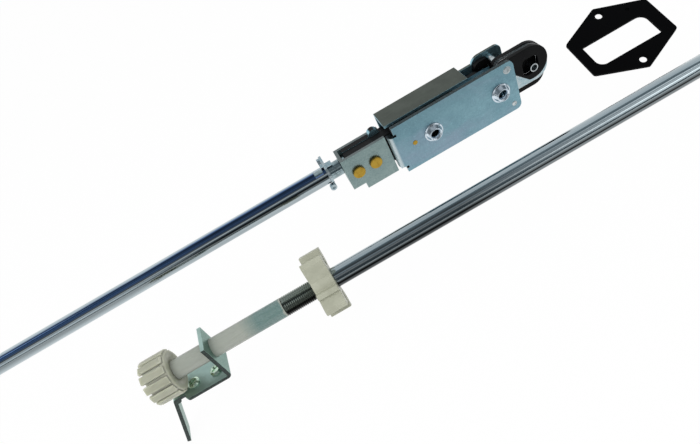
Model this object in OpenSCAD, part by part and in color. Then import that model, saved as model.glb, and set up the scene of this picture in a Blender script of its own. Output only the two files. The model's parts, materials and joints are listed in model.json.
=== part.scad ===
// Door header bolt set: a case with a swinging bolt, its actuating rod in two
// lengths, a threaded adjuster with its bracket, a rod guide and a strike plate.
// The frame's origin lies between the two tapped case bosses, on their faces;
// X runs along the rods to the bolt's side, Y into the door and Z up. All in mm.

/* [Case] */
// Length of the front plate along the rod
plate_len = 89; // [80:1:110]
// Width of the front plate and of the case
plate_w = 38.1; // [34:0.1:46]
// Thickness of the front plate
plate_t = 3; // [2:0.5:4]
// Depth of the case from the plate's face to the back of the channel
case_depth = 25.4; // [24:0.1:32]
// Sheet thickness of the rear channel
wall_t = 2; // [1.5:0.1:2.5]
// Length of the channel's two flanges
flange_len = 60; // [52:1:64]
// Distance between the two tapped bosses
boss_spacing = 50.8; // [44:0.1:56]
// Height of the bosses over the plate
boss_stand = 4; // [2:0.5:7]
// Thread core diameter of the bosses
boss_hole_d = 5; // [4:0.1:6]

/* [Swinging bolt] */
// Thickness of one ply of the three that make the bolt
ply_t = 3.05; // [2.5:0.05:3.2]
// Radius of the bolt's nose
nose_r = 12; // [10:0.5:12.5]
// How far the bolt stands out past the plate's end
bolt_throw = 26; // [20:0.5:28]
// Diameter of the pivot pin
pivot_d = 5.4; // [4.5:0.1:6]
// Outer diameter of the hollow rivet in the nose
hollow_rivet_d = 5.8; // [5:0.1:6.2]

/* [Drive] */
// Distance from the pivot to the drive pin
drive_r = 15; // [13:0.5:16]
// Angle of the drive pin past straight down when the bolt is thrown
drive_rest = 15; // [10:1:18]
// Swing of the bolt from thrown to drawn back
bolt_swing = 90; // [80:1:90]
// Diameter of the drive pin
drive_pin_d = 4; // [3:0.1:4.5]

/* [Yoke and rods] */
// Width of the yoke's cheeks
yoke_w = 25.4; // [22:0.1:28]
// Diameter of the two brass rivets in the yoke
yoke_rivet_d = 8.7; // [6:0.1:10]
// Outer diameter of the rod tube
tube_d = 12.7; // [10:0.1:14]
// Wall of the rod tube
tube_wall = 1.25; // [1:0.05:2]
// Length of the modelled upper rod tube
upper_len = 269; // [120:1:400]
// Length of the modelled lower rod tube
lower_len = 317; // [120:1:400]

/* [Adjuster and bracket] */
// Outer diameter of the adjuster sleeve
sleeve_d = 12.4; // [10:0.1:13]
// Diameter over the knob's teeth
knob_d = 29.2; // [24:0.1:34]
// Number of teeth round the knob
knob_teeth = 13; // [8:1:20]
// Length of the knob
knob_len = 17.3; // [12:0.1:26]
// Outer diameter of the adjusting thread
thread_d = 9.5; // [8:0.1:9.8]
// Pitch of the adjusting thread
thread_pitch = 1.5875; // [1:0.01:2]
// Sheet thickness of the bracket
bracket_t = 2.5; // [2:0.1:3.5]
// Width of the bracket's ear and flange
bracket_w = 18.6; // [17:0.1:26]
// Length of the bracket's leg
leg_len = 45; // [24:1:52]
// Lean of the bracket's leg from upright
leg_lean = 22.5; // [0:0.5:35]

/* [Guide and strike] */
// Length of the rod guide along the rod
guide_len = 14; // [8:0.5:20]
// Half length of the strike plate along the rod
strike_a = 33.4; // [30:0.1:40]
// Half width of the strike plate between its straight edges
strike_b = 16.5; // [14:0.1:22]
// Reach of the strike plate's two points past its straight edges
strike_wing = 15.1; // [8:0.1:20]
// Length of the strike plate's slot
strike_slot_len = 50; // [40:0.1:54]
// Width of the strike plate's slot
strike_slot_w = 20.6; // [12:0.1:24]
// Thickness of the strike plate
strike_t = 1.8; // [1.5:0.1:4]

/* [Clearances] */
// Radial clearance of a turning pin or of a sliding sleeve
run = 0.08; // [0.03:0.01:0.1]
// Clearance of the drive pin in its fork and of the slide in its shoe
slide_clear = 0.1; // [0.05:0.01:0.15]

/* [Hidden] */
$fn = 64;
eps = 0.01;
big = 60;

mid_w = plate_w / 2;
origin_x = 51;
boss_xs = [origin_x - boss_spacing / 2, origin_x + boss_spacing / 2];
boss_base_d = 13.5;
boss_face_d = 9;
boss_seat_d = 10;

corner_r = 4;
tab_len = 26;
tab_z = 5;
tab_in_r = 1;
tab_end_y = 6.4;
relief = 1.8;

channel_y = 6.5;
channel_left = -2.5;
low_wall_end = plate_len - 18.5;
low_wall_z = 34;
ear_end = plate_len + 5;
ear_r_left = 7;
ear_r_right = 4.5;
back_y = case_depth - wall_t;

pivot_x = plate_len - 5;
hub_r = 4.4;
pivot_z = plate_w - 1.1 - hub_r;
guide_pin_x = 11.5;
guide_pin_d = 3.4;
post_d = 5;
post_xs = [15, 47];
post_z = 5.2;
stub_z = 5.5;
stub_d = 3.6;
stake_d = 4.6;
stake_h = 0.25;
shoe_len = 6;

pack_y = 3.6;
core_y = pack_y + ply_t;
rear_y = core_y + ply_t;
pack_end_y = rear_y + ply_t;
nose_x = plate_len + bolt_throw - nose_r;
top_z = pivot_z + hub_r;
nose_z = top_z - nose_r;
core_nose = [plate_len + 17, 18.6];
core_nose_r = 9.9;
core_low_z = 8.8;
rear_low_z = 2.9;
bush_d = pivot_d + 2;
slant_sum = plate_len + 24.2;
window = [plate_len + 7.5, 17.5, 11.5, 12];
hollow_x = plate_len + 15.4;
hollow_z = 20.6;
hollow_hole_d = hollow_rivet_d - 1.6;

rod_travel = drive_r * (sin(bolt_swing - drive_rest) + sin(drive_rest));
drive_pin_end_y = 22.4;
slot_steps = 15;
slot_r = drive_pin_d / 2 + slide_clear;

yoke_left = -38.3;
yoke_right = -5;
leg_t = 2.2;
leg_y = 5;
rear_leg_y = 18.2;
yoke_low_z = mid_w - yoke_w / 2;
yoke_high_z = mid_w + yoke_w / 2;
foot_x = -29;
foot_drop = 5;
yoke_rivet_xs = [-29.9, -17];
yoke_rivet_z = 18;
rivet_proud = 2;
block_y = leg_y + leg_t;
bar_y = 13.8;
block_end = 50;
bar_z = 9;
bar_high_z = 31.2;
arm_y = 16.1;
arm_end_y = 19.2;
arm_start = 30;
arm_end = plate_len - 9;
fork_end_y = 22.6;
fork_x = plate_len - 18.5;
fork_end = plate_len + 3.4;
fork_z = 12;
fork_top = 35.7;
tine_top = 29.7;
lug_right = pivot_x - pivot_d / 2 - 0.8;
lug_rivet_d = 4;
pull_ear = [-13, -5.5, 35.4];

rod_y = 12.5;
rod_z = 23.7;
neck_d = 10.9;
tube_end = -49;
clip_x = -49;
clip_t = 1.7;
stud_head_d = 10.4;
journal_d = 8;
end_play = 0.2;
tube_in_d = tube_d - 2 * tube_wall;
tube_notch = [-57, 6, 4.4];

low_y = -52.7;
low_z = 1.5;
low_start = -112;
low_thread_end = -78;
low_pitch = 1.27;
low_thread_deep = 0.55;
stud_len = 25;
stud_plug = 18;
thread_deep = 0.85;
sleeve_gap = 0.4;
sleeve_left = -206;
sleeve_bore_end = -150;
knob_left = -206.3;
knob_root_d = knob_d - 3.4;
tooth_w = 4.9;
hub_recess = 2;

ear_x = -165;
ear_top = 15;
bracket_front = -63.4;
flange_z = -18;
flange_left = -195;
neck_inset = 4.5;
neck_w = 11.5;
leg_top_x = -202;
bend_r = 1;
screw_xs = [-187.6, -171.6];
screw_y = -54.6;
screw_head_d = 8;
screw_head_h = 1.9;
screw_d = 4.2;
screw_len = 6.5;
screw_neck_d = screw_d + 0.8;
screw_hole_d = screw_neck_d + 0.2;
recess_w = 1.1;
recess_l = 4.4;
recess_t = 1.3;

guide_x = -91;
guide_turn = 42;
guide_core_d = tube_d + 6.7;
guide_bore_d = tube_d + 2 * run;

strike_pos = [181.2, 20, -6.9];
strike_tilt = 22;
strike_slot_at = [-1.2, -2.9];
strike_hole_y = 24.2;
strike_hole_d = 5;
strike_sink_d = 9;
strike_wall = 0.9;
strike_corner_r = 2.5;
dimple_d = 3;
dimple_at = [18, 16.5];
dimple_deep = 0.6;

zinc = [0.66, 0.74, 0.77];
dark_zinc = [0.36, 0.37, 0.34];
black = [0.09, 0.09, 0.1];
brass = [0.78, 0.62, 0.24];
nylon = [0.8, 0.79, 0.68];
sleeve_c = [0.76, 0.77, 0.74];

// Placing

// Moves a piece drawn from the plate's corner to the frame's origin.
module placed() {
    translate([-origin_x, boss_stand, -mid_w]) children();
}

// Stands a flat shape drawn in X and Z up at y and gives it the depth t.
module upright(y, t) {
    translate([0, y + t, 0]) rotate([90, 0, 0]) linear_extrude(t) children();
}

// A round bar along Y.
module bar_y(x, y, z, d, t) {
    translate([x, y, z]) rotate([-90, 0, 0]) cylinder(d = d, h = t);
}

// A round bar along X on the upper or the lower rod's axis.
module on_upper(x) {
    translate([x, rod_y, rod_z]) rotate([0, 90, 0]) children();
}
module on_lower(x) {
    translate([x, low_y, low_z]) rotate([0, 90, 0]) children();
}

// A rectangle from its corner, all four corners rounded by r.
module rounded(x, z, w, h, r) {
    translate([x + r, z]) square([w - 2 * r, h]);
    translate([x, z + r]) square([w, h - 2 * r]);
    for (cx = [x + r, x + w - r], cz = [z + r, z + h - r])
        translate([cx, cz]) circle(r);
}

// Case

// The tab folded back at the plate's left end, as a section in X and Y.
module tab_section() {
    outer = tab_in_r + plate_t;
    intersection() {
        translate([0, outer]) difference() {
            circle(outer);
            circle(tab_in_r);
        }
        translate([-outer, 0]) square([outer, outer]);
    }
    translate([-outer, outer]) square([plate_t, tab_end_y - outer]);
}

module plate_outline() {
    difference() {
        union() {
            square([plate_len - corner_r, plate_w]);
            translate([0, corner_r]) square([plate_len, plate_w - 2 * corner_r]);
            for (z = [corner_r, plate_w - corner_r])
                translate([plate_len - corner_r, z]) circle(corner_r);
        }
        for (z = [tab_z - relief, tab_z + tab_len])
            translate([-eps, z]) square([relief, relief]);
        for (x = boss_xs) translate([x, mid_w]) circle(d = boss_seat_d);
        translate([pivot_x, pivot_z]) circle(d = pivot_d);
        translate([guide_pin_x, mid_w]) circle(d = guide_pin_d);
        translate([pivot_x, stub_z]) circle(d = stub_d);
    }
}

module front_plate() {
    color(zinc) placed() {
        upright(0, plate_t) plate_outline();
        translate([0, 0, tab_z]) linear_extrude(tab_len) tab_section();
    }
}

module back_wall_outline() {
    difference() {
        union() {
            translate([channel_left, 0]) square([flange_len - channel_left, plate_w]);
            square([ear_end - ear_r_right, low_wall_z - 8]);
            translate([0, ear_r_right]) square([ear_end, low_wall_z - 8 - ear_r_right]);
            translate([ear_end - ear_r_right, ear_r_right]) circle(ear_r_right);
            square([low_wall_end + 1, low_wall_z]);
            rounded_ear();
        }
        translate([pivot_x, pivot_z]) circle(d = pivot_d);
        translate([guide_pin_x, mid_w]) circle(d = guide_pin_d);
    }
}

module rounded_ear() {
    translate([low_wall_end, low_wall_z - 10])
        square([ear_end - low_wall_end, plate_w - ear_r_left - low_wall_z + 10]);
    translate([low_wall_end + ear_r_left, low_wall_z - 10])
        square([ear_end - low_wall_end - ear_r_left - ear_r_right, plate_w - low_wall_z + 10]);
    translate([low_wall_end + ear_r_left, plate_w - ear_r_left]) circle(ear_r_left);
    translate([ear_end - ear_r_right, plate_w - ear_r_right]) circle(ear_r_right);
    translate([ear_end - ear_r_left, low_wall_z - 10])
        square([ear_r_left, plate_w - ear_r_right - low_wall_z + 10]);
}

module case_channel() {
    color(dark_zinc) placed() {
        upright(back_y, wall_t) back_wall_outline();
        for (z = [0, plate_w - wall_t])
            translate([channel_left, channel_y, z])
                cube([flange_len - channel_left, case_depth - channel_y, wall_t]);
    }
}

module case_bosses() {
    color(zinc) placed() for (x = boss_xs) translate([x, 0, mid_w]) rotate([90, 0, 0])
        difference() {
            union() {
                translate([0, 0, -plate_t]) cylinder(d = boss_seat_d, h = plate_t);
                cylinder(d = boss_base_d, h = 0.6);
                translate([0, 0, 0.6]) cylinder(d1 = boss_base_d - 2.2, d2 = boss_face_d,
                    h = boss_stand - 0.6);
            }
            translate([0, 0, -plate_t - eps])
                cylinder(d = boss_hole_d, h = plate_t + boss_stand + 2 * eps);
        }
}

module pivot_pin() {
    color(zinc) placed() {
        bar_y(pivot_x, 0, pivot_z, pivot_d, case_depth);
        stake_mark(pivot_x, pivot_z, stake_d);
    }
}

// The upset ring of a staked pin end, just over the plate.
module stake_mark(x, z, d) {
    translate([x, 0, z]) rotate([90, 0, 0]) difference() {
        cylinder(d = d, h = stake_h);
        translate([0, 0, stake_h / 2]) cylinder(d = d / 2, h = stake_h);
    }
}

module guide_pin() {
    color(brass) placed() {
        bar_y(guide_pin_x, -0.15, mid_w, guide_pin_d, case_depth + 0.15);
    }
}

module case_posts() {
    color(zinc) placed() for (x = post_xs)
        bar_y(x, plate_t, post_z, post_d, back_y - plate_t);
}

module lower_stub() {
    color(zinc) placed() {
        bar_y(pivot_x, 0, stub_z, stub_d, plate_t);
        stake_mark(pivot_x, stub_z, stub_d - 0.4);
    }
}

// The shoe that the slide runs through at the case's left end.
module guide_shoe() {
    color(black) placed() difference() {
        translate([0, channel_y + 0.2, wall_t])
            cube([shoe_len, back_y - channel_y - 0.2, plate_w - 2 * wall_t]);
        translate([-eps, block_y - slide_clear, bar_z - slide_clear])
            cube([shoe_len + 2 * eps, rear_leg_y - block_y + 2 * slide_clear,
                bar_high_z - bar_z + 2 * slide_clear]);
    }
}

// Swinging bolt

// Cuts the front cheek's slanted edge below the nose.
module slant_cut() {
    left = pivot_x + 4;
    polygon([[left, 0], [slant_sum, 0], [left, slant_sum - left]]);
}

module hub() {
    translate([pivot_x, pivot_z]) circle(hub_r);
}

module pivot_bore() {
    translate([pivot_x, pivot_z]) circle(d = bush_d);
}

module window_shape() {
    rounded(window[0], window[1], window[2], window[3], 3);
}

module front_cheek() {
    color(black) placed() upright(pack_y, ply_t) difference() {
        union() {
            hub();
            translate([nose_x, nose_z]) circle(nose_r);
            polygon([[pivot_x - 3.1, pivot_z - 3.1], [pivot_x + 2, slant_sum - pivot_x - 2],
                [nose_x - 3.5, slant_sum - nose_x + 3.5], [nose_x, nose_z - nose_r + 0.5],
                [nose_x, top_z], [pivot_x, top_z]]);
        }
        slant_cut();
        pivot_bore();
        window_shape();
    }
}

module bolt_core() {
    color(zinc) placed() upright(core_y, ply_t) difference() {
        union() {
            hub();
            translate([nose_x, nose_z]) circle(nose_r - 0.4);
            translate(core_nose) circle(core_nose_r);
            polygon([[pivot_x - 4.3, pivot_z - 0.8], [pivot_x + 3.5, core_low_z],
                [core_nose[0], core_low_z], [core_nose[0] + core_nose_r, core_nose[1]],
                [nose_x + nose_r - 0.5, nose_z], [nose_x, top_z - 0.4], [pivot_x, top_z]]);
        }
        pivot_bore();
        window_shape();
    }
}

module rear_cheek() {
    low_r = 9;
    low_x = pivot_x + 21.4;
    color(black) placed() upright(rear_y, ply_t) difference() {
        union() {
            hub();
            translate([nose_x, nose_z]) circle(nose_r);
            translate([low_x, rear_low_z + low_r]) circle(low_r);
            polygon([[pivot_x - 4.3, pivot_z - 0.8], [pivot_x + 4, rear_low_z],
                [low_x, rear_low_z], [low_x + low_r, rear_low_z + low_r],
                [nose_x + nose_r, nose_z], [nose_x, top_z], [pivot_x, top_z]]);
        }
        pivot_bore();
        translate([hollow_x, hollow_z]) circle(d = hollow_rivet_d);
        translate([drive_x(0), drive_z(0)]) circle(d = drive_pin_d);
    }
}

module pivot_bush() {
    color(zinc) placed() difference() {
        bar_y(pivot_x, pack_y, pivot_z, bush_d, pack_end_y - pack_y);
        bar_y(pivot_x, pack_y - eps, pivot_z, pivot_d + 2 * run, pack_end_y - pack_y + 2 * eps);
    }
}

module hollow_rivet() {
    color(zinc) placed() difference() {
        bar_y(hollow_x, pack_y - 0.2, hollow_z, hollow_rivet_d, pack_end_y - pack_y + 0.2);
        bar_y(hollow_x, pack_y - 0.2 - eps, hollow_z, hollow_hole_d, 8);
    }
}

// The drive pin's place at the swing angle a, counted from the thrown bolt.
function drive_x(a) = pivot_x + drive_r * sin(drive_rest - a);
function drive_z(a) = pivot_z - drive_r * cos(drive_rest - a);

module drive_pin() {
    color(zinc) placed()
        bar_y(drive_x(0), rear_y, drive_z(0), drive_pin_d, drive_pin_end_y - rear_y);
}

// Slide

module yoke_leg_outline() {
    translate([yoke_left, yoke_low_z]) square([yoke_right - yoke_left, yoke_w]);
}

module yoke() {
    color(zinc) placed() difference() {
        union() {
            upright(leg_y, leg_t) {
                yoke_leg_outline();
                translate([foot_x, yoke_low_z - foot_drop])
                    square([yoke_right - foot_x, foot_drop]);
            }
            upright(rear_leg_y, leg_t) yoke_leg_outline();
            translate([0, 0, yoke_low_z]) linear_extrude(yoke_w) yoke_web();
        }
        on_upper(yoke_left - eps) cylinder(d = journal_d + 2 * run, h = leg_t + 2 * eps);
        for (x = yoke_rivet_xs)
            bar_y(x, leg_y - eps, yoke_rivet_z, yoke_rivet_d - 3, rear_leg_y + leg_t - leg_y + 1);
    }
}

// The yoke's web with its rounded outer corners, as a section in X and Y.
module yoke_web() {
    r = 3;
    end = rear_leg_y + leg_t;
    difference() {
        union() {
            translate([yoke_left, leg_y + r]) square([leg_t, end - leg_y - 2 * r]);
            for (y = [leg_y + r, end - r]) translate([yoke_left + r, y]) circle(r);
        }
        translate([yoke_left + leg_t, leg_y + leg_t]) square([big, end - leg_y - 2 * leg_t]);
    }
}

module yoke_rivets() {
    color(brass) placed() for (x = yoke_rivet_xs) {
        bar_y(x, leg_y, yoke_rivet_z, yoke_rivet_d - 3, rear_leg_y + leg_t - leg_y);
        translate([x, leg_y, yoke_rivet_z]) rotate([90, 0, 0]) {
            cylinder(d = yoke_rivet_d, h = rivet_proud - 0.5);
            translate([0, 0, rivet_proud - 0.5])
                cylinder(d1 = yoke_rivet_d, d2 = yoke_rivet_d - 1, h = 0.5);
        }
    }
}

// The slot that clears the guide pin over the whole travel.
module guide_slot(y, t) {
    r = guide_pin_d / 2 + slide_clear;
    upright(y - eps, t + 2 * eps) {
        translate([guide_pin_x, mid_w - r]) square([rod_travel, 2 * r]);
        for (x = [guide_pin_x, guide_pin_x + rod_travel]) translate([x, mid_w]) circle(r);
    }
}

module slide_block() {
    color(black) placed() difference() {
        union() {
            translate([yoke_left + leg_t + 2.4, block_y, yoke_low_z])
                cube([yoke_right - yoke_left - leg_t - 2.4, bar_y - block_y, yoke_w - 0.6]);
            translate([yoke_right - 1, block_y, bar_z])
                cube([block_end - yoke_right + 1, bar_y - block_y, bar_high_z - bar_z]);
        }
        guide_slot(block_y, bar_y - block_y);
        for (x = yoke_rivet_xs) bar_y(x, 0, yoke_rivet_z, yoke_rivet_d - 3, big);
    }
}

module drive_bar() {
    color(zinc) placed() difference() {
        union() {
            translate([yoke_left + leg_t + 2.4, bar_y, yoke_low_z])
                cube([yoke_right - yoke_left - leg_t - 2.4, rear_leg_y - bar_y, yoke_w]);
            translate([yoke_right - 1, bar_y, bar_z])
                cube([block_end - yoke_right + 1, rear_leg_y - bar_y, bar_high_z - bar_z]);
            translate([arm_start, arm_y, bar_z])
                cube([arm_end - arm_start, arm_end_y - arm_y, bar_high_z - bar_z]);
            upright(bar_y, rear_leg_y - bar_y) pull_ear_outline();
        }
        guide_slot(bar_y, arm_end_y - bar_y);
        for (x = yoke_rivet_xs) bar_y(x, 0, yoke_rivet_z, yoke_rivet_d - 3, big);
        for (z = fork_rivet_zs()) bar_y(fork_rivet_x(), arm_y - eps, z, lug_rivet_d, big);
    }
}

module pull_ear_outline() {
    w = pull_ear[1] - pull_ear[0];
    translate([pull_ear[0], yoke_high_z - 2]) square([w, pull_ear[2] - w / 2 - yoke_high_z + 2]);
    translate([pull_ear[0] + w / 2, pull_ear[2] - w / 2]) circle(w / 2);
}

function fork_rivet_x() = fork_x + 4.8;
function fork_rivet_zs() = [15.5, 27];

// The fork's slot follows the drive pin, so that the bolt's angle and the slide's
// travel keep one constant ratio from end to end.
function slot_x(a) = drive_x(a) + rod_travel * a / bolt_swing;
function slot_point(i) = [slot_x(bolt_swing * i / slot_steps), drive_z(bolt_swing * i / slot_steps)];

module slot_link(p, q) {
    d = q - p;
    n = [-d[1], d[0]] / norm(d) * slot_r;
    polygon([p + n, q + n, q - n, p - n]);
}

module fork_slot() {
    for (i = [0:slot_steps]) translate(slot_point(i)) circle(slot_r);
    for (i = [0:slot_steps - 1]) slot_link(slot_point(i), slot_point(i + 1));
    top = slot_point(slot_steps);
    translate([top[0] - slot_r, top[1]]) square([2 * slot_r, big]);
}

module drive_fork() {
    lug_r = 5.5;
    color(black) placed() upright(arm_end_y, fork_end_y - arm_end_y) difference() {
        union() {
            translate([fork_x, fork_z]) square([fork_end - fork_x, tine_top - fork_z]);
            translate([fork_x, fork_z]) square([lug_right - fork_x, fork_top - lug_r - fork_z]);
            translate([fork_x + lug_r, fork_z]) square([lug_right - fork_x - lug_r, fork_top - fork_z]);
            translate([fork_x + lug_r, fork_top - lug_r]) circle(lug_r);
        }
        intersection() {
            fork_slot();
            translate([lug_right, 0]) square([big, big]);
        }
        for (z = fork_rivet_zs()) translate([fork_rivet_x(), z]) circle(d = lug_rivet_d);
    }
}

module fork_rivets() {
    color(zinc) placed() for (z = fork_rivet_zs())
        bar_y(fork_rivet_x(), arm_y, z, lug_rivet_d, fork_end_y - arm_y);
}

// Upper rod

module upper_tube() {
    color(zinc) placed() difference() {
        on_upper(tube_end - upper_len) difference() {
            cylinder(d = tube_d, h = upper_len);
            translate([0, 0, -eps]) cylinder(d = tube_in_d, h = upper_len + 2 * eps);
        }
        translate([tube_notch[0], 0, rod_z + tube_notch[2]]) cube([tube_notch[1], big, 10]);
    }
}

module upper_stud() {
    plug = 24;
    color(zinc) placed() {
        on_upper(tube_end - plug) cylinder(d = tube_in_d, h = plug);
        on_upper(tube_end) cylinder(d = neck_d, h = yoke_left - end_play - tube_end);
        on_upper(tube_end) cylinder(d = journal_d, h = yoke_left + leg_t + end_play - tube_end);
        on_upper(yoke_left + leg_t + end_play) cylinder(d = stud_head_d, h = 1.9);
    }
}

module upper_clip() {
    tab_w = 7;
    color(zinc) placed() {
        on_upper(clip_x) difference() {
            cylinder(d = 14.6, h = clip_t);
            translate([0, 0, -eps]) cylinder(d = neck_d, h = clip_t + 2 * eps);
        }
        translate([clip_x, rod_y - tab_w / 2, rod_z + neck_d / 2 + 0.6])
            cube([clip_t, tab_w, 7.2]);
        translate([clip_x - 2, rod_y - 1, rod_z + tube_d / 2 + 0.8]) {
            cube([2, tab_w - 1, 2.5]);
            translate([1, (tab_w - 1) / 2, 2.5]) rotate([0, 90, 0]) translate([0, 0, -1])
                cylinder(d = tab_w - 1, h = 2);
        }
        translate([clip_x + clip_t, rod_y - 2, rod_z + neck_d / 2 + 0.6]) cube([4.2, 4, 1.4]);
        translate([clip_x - 0.6, rod_y - 6.5, rod_z - tube_d / 2 - 1.4]) clip_hook();
    }
}

// The clip's small curled end under the tube.
module clip_hook() {
    rotate([-90, 0, 0]) difference() {
        cylinder(d = 4.6, h = 3);
        translate([0, 0, -eps]) cylinder(d = 2.2, h = 3 + 2 * eps);
    }
}

// Lower rod and adjuster

// A turned thread drawn as equal rings, from its outside and its pitch.
module thread_rings(d, deep, pitch, count) {
    rotate_extrude() polygon(concat([[0, 0]],
        [for (i = [0:count - 1]) for (k = [0, 1])
            [d / 2 - (k == 0 ? deep : 0), pitch * (i + k / 2)]],
        [[d / 2 - deep, pitch * count], [0, pitch * count]]));
}

module lower_tube() {
    count = floor((low_thread_end - low_start) / low_pitch);
    thread = count * low_pitch;
    color(zinc) placed() on_lower(low_start) difference() {
        union() {
            thread_rings(tube_d, low_thread_deep, low_pitch, count);
            translate([0, 0, thread]) cylinder(d = tube_d, h = lower_len - thread);
        }
        translate([0, 0, -eps]) cylinder(d = tube_in_d, h = lower_len + 2 * eps);
    }
}

module lower_stud() {
    count = floor(stud_len / thread_pitch);
    color(zinc) placed() {
        on_lower(low_start - count * thread_pitch)
            thread_rings(thread_d, thread_deep, thread_pitch, count);
        on_lower(low_start) cylinder(d = tube_in_d, h = stud_plug);
    }
}

module adjuster_sleeve() {
    right = low_start - sleeve_gap;
    color(sleeve_c) placed() difference() {
        on_lower(sleeve_left) cylinder(d = sleeve_d, h = right - sleeve_left);
        on_lower(sleeve_bore_end)
            cylinder(d = thread_d + 2 * run, h = right - sleeve_bore_end + eps);
    }
}

module adjuster_knob() {
    lead = 1.2;
    color(nylon) placed() on_lower(knob_left) difference() {
        union() {
            translate([0, 0, hub_recess]) cylinder(d = knob_root_d, h = knob_len - hub_recess);
            for (i = [0:knob_teeth - 1]) rotate([0, 0, i * 360 / knob_teeth])
                translate([knob_root_d / 2 - 1, -tooth_w / 2, 0])
                    cube([(knob_d - knob_root_d) / 2 + 1, tooth_w, knob_len - lead]);
        }
        translate([0, 0, sleeve_left - knob_left]) cylinder(d = sleeve_d, h = knob_len);
    }
}

// Bracket

module bracket_profile() {
    r = bend_r + bracket_t;
    right = ear_x + bracket_t;
    translate([ear_x, flange_z + r]) square([bracket_t, ear_top - flange_z - r]);
    translate([flange_left, flange_z]) square([right - r - flange_left, bracket_t]);
    intersection() {
        translate([right - r, flange_z + r]) difference() {
            circle(r);
            circle(bend_r);
        }
        translate([right - r, flange_z]) square([r, r]);
    }
}

module bracket_leg_profile() {
    translate([leg_top_x, flange_z]) square([flange_left - leg_top_x + 1, bracket_t]);
    translate([leg_top_x, flange_z]) circle(bracket_t);
    translate([leg_top_x, flange_z]) rotate([0, 0, -leg_lean])
        translate([-bracket_t, -leg_len]) square([bracket_t, leg_len]);
}

module bracket() {
    color(zinc) placed() difference() {
        union() {
            upright(bracket_front, bracket_w) bracket_profile();
            upright(bracket_front + neck_inset, neck_w) bracket_leg_profile();
        }
        on_lower(ear_x - 1) cylinder(d = sleeve_d + 2 * run, h = bracket_t + 2);
        for (x = screw_xs) translate([x, screw_y, flange_z - 1])
            cylinder(d = screw_hole_d, h = bracket_t + 2);
        bracket_corner_cut();
    }
}

// Rounds the free front corner of the flange.
module bracket_corner_cut() {
    r = 3;
    translate([flange_left, bracket_front, flange_z - 1]) difference() {
        translate([-1, -1, 0]) cube([r + 1, r + 1, bracket_t + 2]);
        translate([r, r, -1]) cylinder(r = r, h = bracket_t + 4);
    }
}

module bracket_screws() {
    color(zinc) placed() for (x = screw_xs)
        translate([x, screw_y, flange_z + bracket_t]) difference() {
            union() {
                cylinder(d = screw_head_d, h = screw_head_h / 2);
                translate([0, 0, screw_head_h / 2])
                    cylinder(d1 = screw_head_d, d2 = screw_head_d - 2.4, h = screw_head_h / 2);
                translate([0, 0, -bracket_t]) cylinder(d = screw_neck_d, h = bracket_t);
                translate([0, 0, -bracket_t - screw_len])
                    cylinder(d = screw_d, h = screw_len + bracket_t);
            }
            for (a = [25, 115]) rotate([0, 0, a])
                translate([-recess_l / 2, -recess_w / 2, screw_head_h - recess_t])
                    cube([recess_l, recess_w, recess_t + 1]);
        }
}

// Rod guide

// Section of the guide: u runs across the view and v to the front.
module guide_section() {
    for (s = [0, 1]) mirror([s, 0]) {
        polygon([[2, -8.5], [8, -8.5], [12.5, -12.8], [21.2, -12], [20.6, -3.6], [4, -4]]);
        polygon([[0, 8], [4, 3], [16.5, 2.5], [17, 11.6], [14, 12.8], [3, 8.6]]);
    }
    polygon([[-2, 8], [-3.4, 13], [-6.6, 12.6], [-7.4, 8]]);
    circle(d = guide_core_d);
}

module rod_guide() {
    color(nylon) placed() on_lower(guide_x) difference() {
        linear_extrude(guide_len) rotate([0, 0, 180 - guide_turn]) guide_section();
        translate([0, 0, -eps]) cylinder(d = guide_bore_d, h = guide_len + 2 * eps);
    }
}

// Strike plate

// Points of the arc of radius r that rounds the corner b between a and c, counter-clockwise.
function corner_arc(a, b, c, r, steps = 6) =
    let (u = (a - b) / norm(a - b), v = (c - b) / norm(c - b),
        half = acos(u * v) / 2,
        centre = b + (u + v) / norm(u + v) * r / sin(half),
        first = b + u * r / tan(half) - centre,
        start = atan2(first[1], first[0]))
    [for (i = [0:steps]) centre + r * [cos(start + (180 - 2 * half) * i / steps),
        sin(start + (180 - 2 * half) * i / steps)]];

module strike_outline() {
    p = [[-strike_a, -strike_b], [0, -strike_b - strike_wing], [strike_a, -strike_b],
        [strike_a, strike_b], [0, strike_b + strike_wing], [-strike_a, strike_b]];
    n = len(p);
    difference() {
        polygon([for (i = [0:n - 1])
            each corner_arc(p[(i + n - 1) % n], p[i], p[(i + 1) % n], strike_corner_r)]);
        strike_slot();
    }
}

module strike_slot() {
    big_r = 6;
    l = strike_slot_len;
    w = strike_slot_w;
    translate(strike_slot_at - [l, w] / 2) {
        translate([big_r, 0]) square([l - 2 * big_r, w]);
        translate([0, big_r]) square([big_r + eps, w - big_r]);
        translate([l - big_r - eps, 0]) square([big_r + eps, w - big_r]);
        translate([big_r, big_r]) circle(big_r);
        translate([l - big_r, w - big_r]) circle(big_r);
    }
}

module strike_plate() {
    color(black) placed() translate(strike_pos) rotate([strike_tilt, 0, 0]) difference() {
        translate([0, 0, -strike_t]) linear_extrude(strike_t) strike_outline();
        for (y = [-strike_hole_y, strike_hole_y]) translate([0, y, -strike_t]) {
            translate([0, 0, -1]) cylinder(d = strike_hole_d, h = strike_t + 2);
            translate([0, 0, strike_wall])
                cylinder(d1 = strike_hole_d, d2 = strike_sink_d, h = strike_t - strike_wall + eps);
        }
        translate([dimple_at[0], dimple_at[1], -dimple_deep]) cylinder(d = dimple_d, h = 1);
    }
}

front_plate();
case_channel();
case_bosses();
pivot_pin();
guide_pin();
case_posts();
lower_stub();
guide_shoe();
front_cheek();
bolt_core();
rear_cheek();
pivot_bush();
hollow_rivet();
drive_pin();
yoke();
yoke_rivets();
slide_block();
drive_bar();
drive_fork();
fork_rivets();
upper_tube();
upper_stud();
upper_clip();
lower_tube();
lower_stud();
adjuster_sleeve();
adjuster_knob();
bracket();
bracket_screws();
rod_guide();
strike_plate();
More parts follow.
